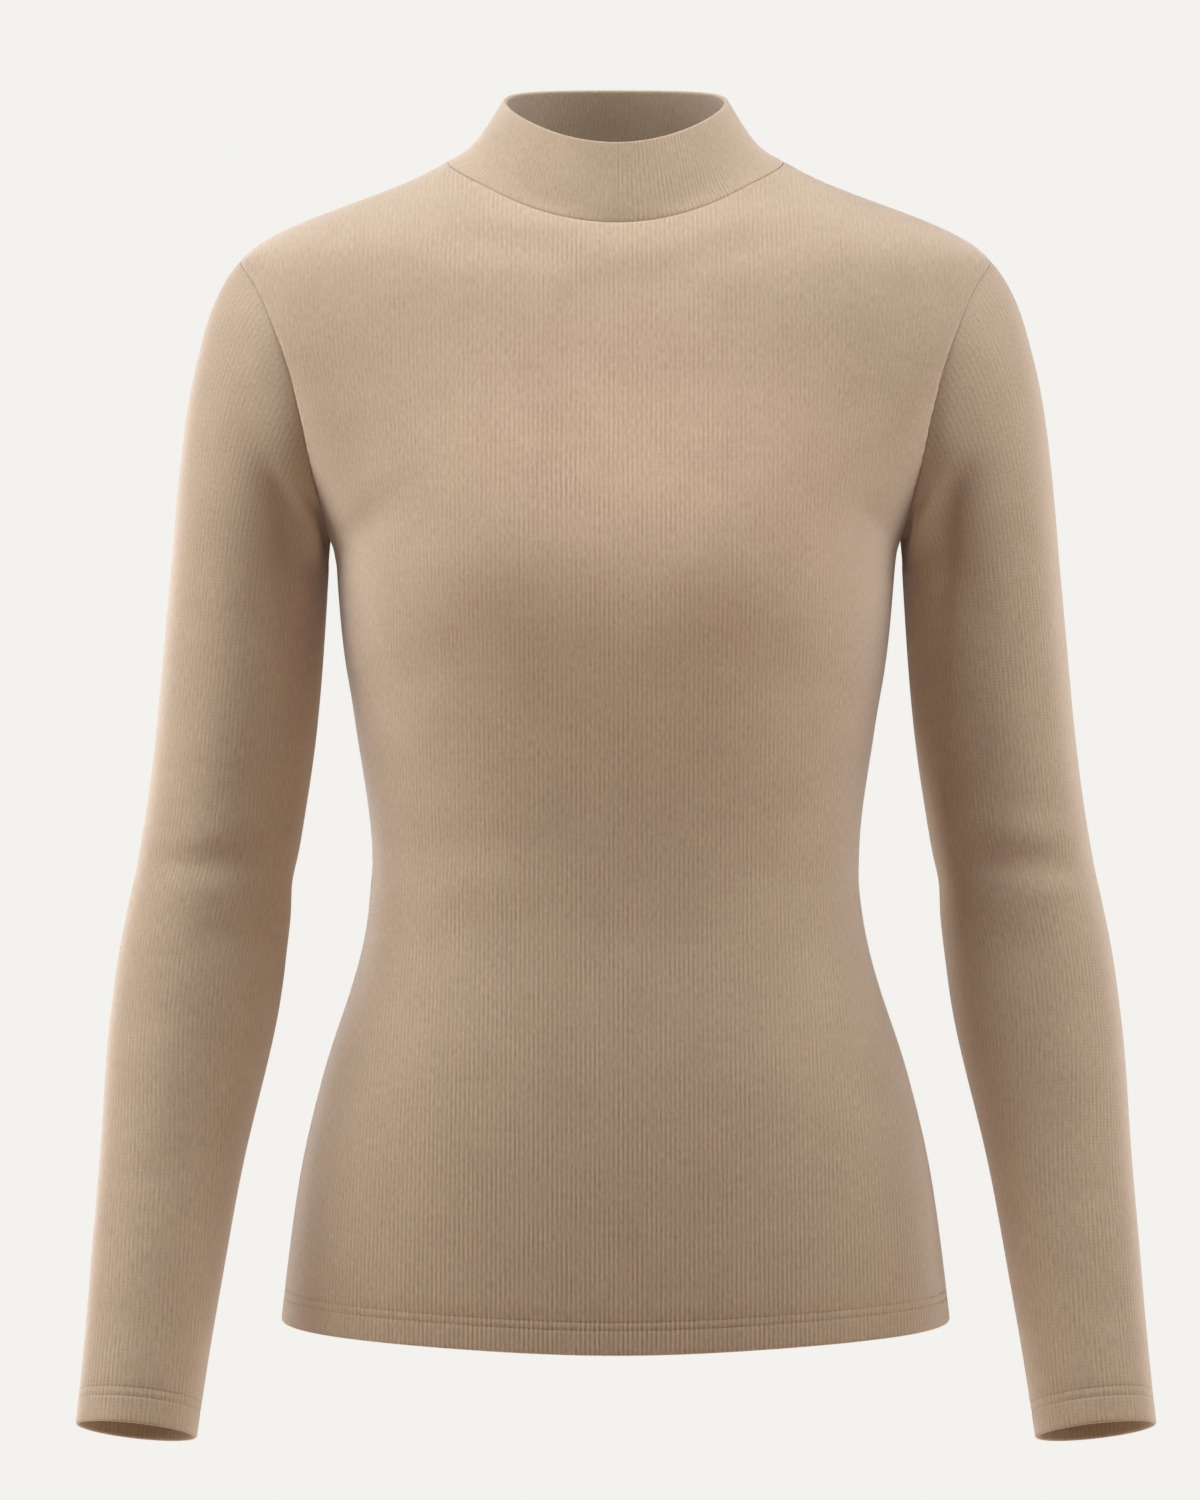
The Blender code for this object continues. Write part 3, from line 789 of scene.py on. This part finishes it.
# Finer creases between them, a little different on each arm.
LEFT_CREASES = (
    (-1.0, 60, 500, -332, 22, 5),
    (0.8, 70, 600, -371, 24, 5),
    (-0.9, 150, -500, -410, 20, 7),
    (-0.7, 100, 300, -230, 12, 14),
    (-0.7, 60, -200, -430, 22, 8),
    (-0.9, 290, -400, -352, 22, 6),
    (0.7, 250, 400, -388, 22, 7),
    (-0.6, 90, 250, -520, 24, 8),
    (-0.6, 70, -300, -575, 26, 7),
    (-0.6, 280, 300, -545, 24, 8),
    (-0.8, 30, 200, -95, 20, 9),
    (3.2, 127, -970, -181, 6, 15),
    (-1.8, 101, -860, -170, 7, 11),
    (-2.2, 148, -1800, -185, 7, 10),
    (1.7, 105, -300, -148, 9, 14),
)
RIGHT_CREASES = (
    (-1.0, 66, 450, -338, 20, 5),
    (0.8, 78, 550, -368, 26, 5),
    (-0.8, 146, -450, -403, 22, 7),
    (-0.8, 104, 260, -224, 12, 15),
    (-0.6, 54, -250, -436, 20, 8),
    (-0.8, 296, -350, -346, 24, 6),
    (0.8, 246, 350, -392, 20, 7),
    (-0.7, 84, 300, -512, 22, 8),
    (-0.5, 76, -250, -582, 24, 7),
    (-0.7, 284, 250, -556, 22, 8),
    (-0.7, 28, 250, -101, 22, 9),
    (3.4, 126, -970, -181, 6, 14),
    (-2.0, 100, -860, -169, 7, 11),
    (-2.4, 147, -1800, -185, 7, 10),
    (1.6, 106, -300, -150, 9, 15),
)
ARM_LENGTH = (SLEEVE[0][0] - SLEEVE[-1][0]) * MM  # from the cap's end to the cuff
sleeve_at = curves(SLEEVE_COLUMNS, SLEEVE)


def sleeve_ring(angle, z):
    """A point of the left sleeve below its cap, and the way down the sleeve there."""

    def middle(at):
        return np.stack([sleeve_at["x"](at) * MM, sleeve_at["y"](at) * MM, at], -1)

    turn = np.radians(angle)
    down = unit(middle(z - 0.1 * MM) - middle(z + 0.1 * MM))
    right = np.array([1.0, 0.0, 0.0])
    wide = unit(right - down * (down @ right)[..., None])
    sideways = wide * (sleeve_at["half_width"](z) * MM * np.cos(turn))[..., None]
    ahead = np.cross(wide, down) * (sleeve_at["half_depth"](z) * MM * np.sin(turn))[..., None]
    return middle(z) + sideways - ahead, down


def sleeve_point(angle, place):
    """The left sleeve's surface. place is 0 at the armhole, 1 at the cap's end, 2 at the cuff."""
    angle, place = np.broadcast_arrays(np.asarray(angle, float), np.asarray(place, float))
    top, bottom = SLEEVE[0][0] * MM, SLEEVE[-1][0] * MM
    ring, down = sleeve_ring(angle, top + (bottom - top) * np.clip(place - 1, 0, 1))
    turn = np.radians(angle % 360)
    around = np.where(turn > np.pi, 2 * np.pi - turn, turn)
    behind = (turn > np.pi)[..., None]
    seam = np.where(behind, armhole_point(around, True), armhole_point(around, False))
    slope = CAP_SLOPE_TOP + (CAP_SLOPE_UNDER - CAP_SLOPE_TOP) * ((1 - np.cos(turn)) / 2) ** 3
    slope = np.radians(slope)
    leave = np.stack([np.cos(slope), -CAP_SPREAD * np.sin(turn), -np.sin(slope)], -1)
    length = np.linalg.norm(ring - seam, axis=-1, keepdims=True)
    t = np.clip(place, 0, 1)[..., None]
    cap = (2 * t**3 - 3 * t**2 + 1) * seam
    cap = cap + (t**3 - 2 * t**2 + t) * length * CAP_FULLNESS_SEAM * leave
    cap = cap + (3 * t**2 - 2 * t**3) * ring
    cap = cap + (t**3 - t**2) * length * CAP_FULLNESS_ARM * down
    return np.where((place < 1)[..., None], cap, ring)


def sleeve_normal(angle, place):
    turn, step = 0.2, 0.002  # degrees, and shares of the cap or arm, either side
    across = sleeve_point(angle + turn, place) - sleeve_point(angle - turn, place)
    above, below = np.maximum(place - step, 0), np.minimum(place + step, 2)
    return unit(np.cross(across, sleeve_point(angle, below) - sleeve_point(angle, above)))


def creases(table, angle, z):
    """How far the folds and creases move the sleeve's cloth outwards."""
    moved = 0
    for rise, at, turn, height, angle_spread, spread in table:
        middle = at + turn * (z - height * MM)
        near = bell(angle - middle, angle_spread) * bell(z / MM - height, spread)
        moved = moved + rise * MM * near
    return moved


def sleeve_rows(fine):
    """Places of a sleeve's rows, from the cuff up to the armhole."""
    # Rows up the arm, then the places of the rows on the cap, closer near the armhole.
    if fine:
        rises, arm = FINE_RISES, 84
        cap = [*np.linspace(1, 0.08, 22), 0.055, 0.035, 0.021, 0.0135, 0.0085, 0.005, 0.0025, 0]
    else:
        rises, arm = PLAIN_RISES, 34
        cap = [*np.linspace(1, 0.06, 9), 0]
    low = 2 - rises / ARM_LENGTH
    between = low[-1] + (1 - low[-1]) * np.arange(1, arm) / arm
    return np.concatenate([low, between, cap])


def sleeve_side(fine, right, table):
    """The outer or inner side of a sleeve: points, places across the ribs, and rows."""
    place = sleeve_rows(fine)
    half = np.linspace(0, 180, 240)
    ring = np.maximum(place, 1)[:, None]
    reaches = []
    for turned in (half, 360 - half):
        path = sleeve_point(turned, ring)
        steps = np.linalg.norm(np.diff(path, axis=1), axis=-1)
        reaches.append(np.concatenate([0 * ring, np.cumsum(steps, axis=1)], 1))
    reach = sum(reaches) / 2
    across, ended = rib_columns(reach) if fine else plain_columns(reach)
    around = on_rows(across, reach, half + 0 * ring)
    ahead = (across > 0) == right
    angle = np.where(ahead, around, 360 - around)
    rows = place[:, None] + 0 * angle
    points, out = sleeve_point(angle, rows), sleeve_normal(angle, rows)
    for back in (False, True):
        here = ahead[-1] != back
        direction, away = armhole_frame(np.radians(around[-1][here]), back)
        points[-1][here] = armhole_point(np.radians(around[-1][here]), back) + away * SEAM_GAP / 2
        out[-1][here] = direction
    z = points[..., 2]
    rise = (2 - rows) * ARM_LENGTH
    moved = creases(FOLDS, angle, z) * np.clip(rows / FOLDS_START, 0, 1)
    moved = moved + creases(table, angle, z) * smooth(rows, 0, CREASES_START) - turned_edge(rise)
    if fine:
        hole = [armhole_point(np.linspace(0, np.pi, 500), back) for back in (False, True)]
        down = np.linspace(0, 2, 1200)
        seam = nearest(points, np.concatenate([*hole, sleeve_point(180 + 0 * down, down)]))
        moved = moved + ribs(across, seam, SLEEVE_RIBS) - stitch_dents(rise)
        moved = moved - seam_groove(points, seam)
    else:
        moved = inner_side(moved, rise)
    points = lift_armholes(points + out * moved[..., None])
    if right:
        points = points * [-1, 1, 1]
    return points, across, -rows * MAP_LENGTH


sleeve_knit = cotton_rib("sleeve_cotton_rib", 0.08)
for side, right, table in (("left", False, LEFT_CREASES), ("right", True, RIGHT_CREASES)):
    sides = [sleeve_side(fine, right, table) for fine in (True, False)]
    piece = cloth(f"{side}_sleeve", *sides, sleeve_knit, open_sides=False)
    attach(piece, "root")
    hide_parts(f"sleeve_{side}")

    # Cuff stitching, as on the hem.
    angle = np.linspace(0, 360, 400)
    rows = []
    for row in STITCH_ROWS:
        place = 2 - row / ARM_LENGTH + 0 * angle
        point, out = sleeve_point(angle, place), sleeve_normal(angle, place)
        moved = creases(table, angle, point[:, 2]) - STITCH_DENT + THREAD_SEAT
        mirror = [-1 if right else 1, 1, 1]
        rows.append(along_line((point + out * moved[:, None]) * mirror, out * mirror))
    stitches = threads(f"{side}_cuff_stitches", *(np.concatenate(part) for part in zip(*rows)), thread)
    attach(stitches, "root")

# ---------------------------------------------------------------------------------------------
# Collar: a band of the same rib, folded double along its upper edge and sewn to the neck seam.
# It stands close round the neck and leans in, higher behind than in front.
# ---------------------------------------------------------------------------------------------
COLLAR_WALL = 2.6 * MM
COLLAR_TOP_HALF_WIDTH = 57.6 * MM
COLLAR_TOP_FRONT = 62 * MM
COLLAR_TOP_BACK = 58 * MM
COLLAR_TOP_RISE = 42.8 * MM  # from the front of its upper edge to the back
COLLAR_TOP_ARCH = 8.2 * MM
COLLAR_TOP_SKEW = 2.3 * MM
COLLAR_FLARE = 0.3
COLLAR_RIBS = 190
COLLAR_RIBS_OUTSIDE = 0.4  # shares of the ribs' height
COLLAR_RIBS_INSIDE = 0.3
COLLAR_RIBS_PRESSED = 1.5 * MM
COLLAR_WAVES_START = 6 * MM
COLLAR_FOLD_TURNS = (20, 42, 66, 90, 114, 138, 160)  # rows of points over the fold, in degrees
COLLAR_FOLD_STEP = 0.5 * MM
# Slight waves in the band: rise in mm, angle round it, share of its height, and the two spreads.
COLLAR_WAVES = (
    (-0.8, -28, 0.12, 12, 0.16),
    (-0.7, 31, 0.15, 11, 0.18),
    (0.5, 4, 0.2, 14, 0.2),
    (0.5, -62, 0.4, 14, 0.3),
    (-0.5, 66, 0.35, 13, 0.3),
    (-0.7, 160, 0.3, 12, 0.2),
    (0.6, 190, 0.35, 14, 0.25),
    (-0.7, 222, 0.25, 12, 0.2),
)


def collar_surface(angle, up):
    """The band's outer side. up is 0 on the neck seam and 1 at the fold."""
    turn = np.radians(angle)
    side, ahead = np.sin(turn), np.cos(turn)
    seam = neck_point(angle) + neck_frame(angle)[1] * SEAM_GAP / 2
    half_depth = np.where(ahead > 0, COLLAR_TOP_FRONT, COLLAR_TOP_BACK)
    top_z = COLLAR_TOP_RISE * (1 - ahead) / 2 + (COLLAR_TOP_ARCH + COLLAR_TOP_SKEW * ahead) * side**2
    top = np.stack([COLLAR_TOP_HALF_WIDTH * side, -half_depth * ahead, top_z], -1)
    sharp = COLLAR_FLARE * side**2
    spread = (1 - sharp) * (1 - up) + sharp * (1 - up) ** 6
    share = np.stack([spread, spread, 1 - up], -1)
    return seam * share + top * (1 - share)


def collar_band(name, material):
    fine = np.linspace(0, 360, 1441)
    girth = np.linalg.norm(np.diff(collar_surface(fine, 0.5 + 0 * fine), axis=0), axis=-1)
    girth = np.concatenate([[0], np.cumsum(girth)])
    column = np.arange(COLLAR_RIBS * 4 + 1)
    angle = np.interp(column / column[-1] * girth[-1], girth, fine)
    up = np.array([0, 0.012, 0.025, 0.045, 0.08, 0.14, *np.linspace(0.22, 0.94, 10), 0.98, 1])
    angle, up = np.meshgrid(angle, up)
    points = collar_surface(angle, up)
    turn, step = 0.1, 0.01  # degrees, and shares of the height, either side
    along = collar_surface(angle + turn, up) - collar_surface(angle - turn, up)
    above, below = np.minimum(up + step, 1), np.maximum(up - step, 0)
    out = unit(np.cross(along, collar_surface(angle, above) - collar_surface(angle, below)))
    joined = smooth(up, 0, 0.12)[..., None]
    out = unit(neck_frame(angle)[0] * (1 - joined) + out * joined)
    height = np.linalg.norm(points - points[:1], axis=-1)
    wave = np.cos(2 * np.pi * column / 4)
    rib = RIB_HEIGHT / 2 * wave * smooth(height, 0, COLLAR_RIBS_PRESSED)
    turned = (angle + 90) % 360 - 90
    waves = 0
    for rise, at, share, wide, tall in COLLAR_WAVES:
        waves = waves + rise * MM * bell(turned - at, wide) * bell(up - share, tall)
    waves = waves * smooth(height, 0, COLLAR_WAVES_START)
    roll = -SEAM_DEPTH * np.exp(-((height / SEAM_FADE) ** 2))
    outer = points + out * (COLLAR_RIBS_OUTSIDE * rib + waves + roll)[..., None]
    inner = points + out * (waves - COLLAR_WALL - COLLAR_RIBS_INSIDE * rib)[..., None]
    lift = unit(points[-1] - points[-2])
    middle = points[-1] + out[-1] * (waves[-1] - COLLAR_WALL / 2)[:, None]
    reach = (COLLAR_WALL / 2 + rib[-1] * 0.8)[:, None]
    fold = [
        middle + (out[-1] * np.cos(turn) + lift * np.sin(turn)) * reach
        for turn in np.radians(COLLAR_FOLD_TURNS)
    ]
    points = np.concatenate([outer, np.array(fold), inner[::-1], outer[:1]])
    rows, columns = points.shape[:2]
    over = height[-1:] + np.arange(1, len(fold) + 1)[:, None] * COLLAR_FOLD_STEP
    down = np.concatenate([height, over, height[::-1], height[:1]])
    places = np.stack([column * RIB / 4 + 0 * down, down], -1)
    faces = grid_faces(0, rows, columns)
    return mesh_object(name, points.reshape(-1, 3), faces, places.reshape(-1, 2), material)


collar_knit = cotton_rib("collar_cotton_rib", 0.18)
collar = collar_band("collar_band", collar_knit)
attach(collar, "root")
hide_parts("collar")

# ---------------------------------------------------------------------------------------------
# Studio: a floor lies well below the garment, which hangs in the air as worn. The camera sees
# the floor and the space round it as one even pale grey, and both throw a little warm light
# back. Soft light comes from both sides, from above and from behind, which lightens the edges,
# and two narrow strips in front light the fullest part.
# ---------------------------------------------------------------------------------------------
bpy.context.scene.view_settings.view_transform = "Standard"
PALE = "#F3F2EE"
WARM_PAPER = "#F3DCCC"  # what the floor throws back on the cloth above it
FLOOR_Z = -1.35
FLOOR_RADIUS = 40.0
FILL = 0.005  # light from all round, as a share of the paleness seen


def pale_to_camera(tree, shown, real, output):
    """Shows the camera one even colour, and gives light as the real surface does."""
    path = node(tree, "ShaderNodeLightPath").outputs["Is Camera Ray"]
    mix = node(tree, "ShaderNodeMixShader", {0: path, 1: real.outputs[0], 2: shown.outputs[0]})
    tree.links.new(mix.outputs[0], output.inputs["Surface"])


world = bpy.data.worlds.new("studio")
world.use_nodes = True
tree = world.node_tree
shown = node(tree, "ShaderNodeBackground", {"Color": srgb(PALE), "Strength": 1.0})
fill = tree.nodes["Background"]
fill.inputs["Color"].default_value = srgb(WARM_PAPER)
fill.inputs["Strength"].default_value = FILL
pale_to_camera(tree, shown, fill, tree.nodes["World Output"])
bpy.context.scene.world = world

paper = bpy.data.materials.new("pale_paper")
paper.use_nodes = True
tree = paper.node_tree
shown = node(tree, "ShaderNodeEmission", {"Color": srgb(PALE), "Strength": 1.0})
sheet = tree.nodes["Principled BSDF"]
sheet.inputs["Base Color"].default_value = srgb(WARM_PAPER)
sheet.inputs["Roughness"].default_value = 0.95
pale_to_camera(tree, shown, sheet, tree.nodes["Material Output"])

turns = np.radians(np.arange(0, 360, 10))
rim = [(FLOOR_RADIUS * np.cos(turn), FLOOR_RADIUS * np.sin(turn), FLOOR_Z) for turn in turns]
ground = bpy.data.meshes.new("floor")
ground.from_pydata(rim, [], [tuple(range(len(rim)))])
ground.materials.append(paper)
floor = bpy.data.objects.new("floor", ground)
bpy.context.scene.collection.objects.link(floor)


def softbox(name, place, aim, width, height, power, spread=180):
    light = bpy.data.lights.new(name, "AREA")
    light.shape = "RECTANGLE"
    light.size, light.size_y = width, height
    light.energy = power
    light.spread = np.radians(spread)
    lamp = bpy.data.objects.new(name, light)
    lamp.location = place
    lamp.rotation_euler = (Vector(aim) - Vector(place)).to_track_quat("-Z", "Y").to_euler()
    bpy.context.scene.collection.objects.link(lamp)


CHEST = (0.0, 0.0, -0.25)
FULLEST = (0.0, -0.1, -0.185)  # where the front stands out most
softbox("side_left", (-2.0, -0.2, 0.1), CHEST, 1.0, 1.8, 25.0)
softbox("side_right", (2.0, -0.2, 0.1), CHEST, 1.0, 1.8, 12.8)
softbox("front_right", (1.7, -1.5, 0.4), CHEST, 1.0, 1.6, 6.9)
softbox("top_left", (-0.9, -0.5, 1.4), CHEST, 0.8, 0.8, 22.5)
softbox("top_right", (0.9, -0.5, 1.4), CHEST, 0.8, 0.8, 19.9)
softbox("behind_left", (-1.2, 1.6, -0.1), CHEST, 0.8, 1.6, 31.1)
softbox("behind_right", (1.5, 1.3, -0.5), CHEST, 0.8, 1.2, 16.4)
softbox("strip_low", (0.0, -1.6, 0.35), FULLEST, 0.2, 0.1, 0.02, spread=8)
softbox("strip_high", (0.0, -1.2, 0.9), FULLEST, 0.2, 0.1, 0.024, spread=10)

# Camera: level and straight in front, about as far off as the photograph's seems to be.
MM_PER_PIXEL = 0.51
DISTANCE = 2.3
SENSOR = 36
PICTURE_WIDTH = 1200
PICTURE_HEIGHT = 1500
SHOULDER_LINE = 160  # the picture's row at the height of the origin
MIDDLE_COLUMN = 615.5  # the picture's column at the garment's middle
lens = bpy.data.cameras.new("camera")
lens.sensor_fit = "VERTICAL"
lens.sensor_height = SENSOR
lens.lens = SENSOR * DISTANCE / (MM_PER_PIXEL * MM * PICTURE_HEIGHT)
camera = bpy.data.objects.new("camera", lens)
camera.location = (
    (PICTURE_WIDTH / 2 - MIDDLE_COLUMN) * MM_PER_PIXEL * MM,
    -DISTANCE,
    (SHOULDER_LINE - PICTURE_HEIGHT / 2) * MM_PER_PIXEL * MM,
)
camera.rotation_euler = (np.pi / 2, 0, 0)
bpy.context.scene.collection.objects.link(camera)
bpy.context.scene.camera = camera
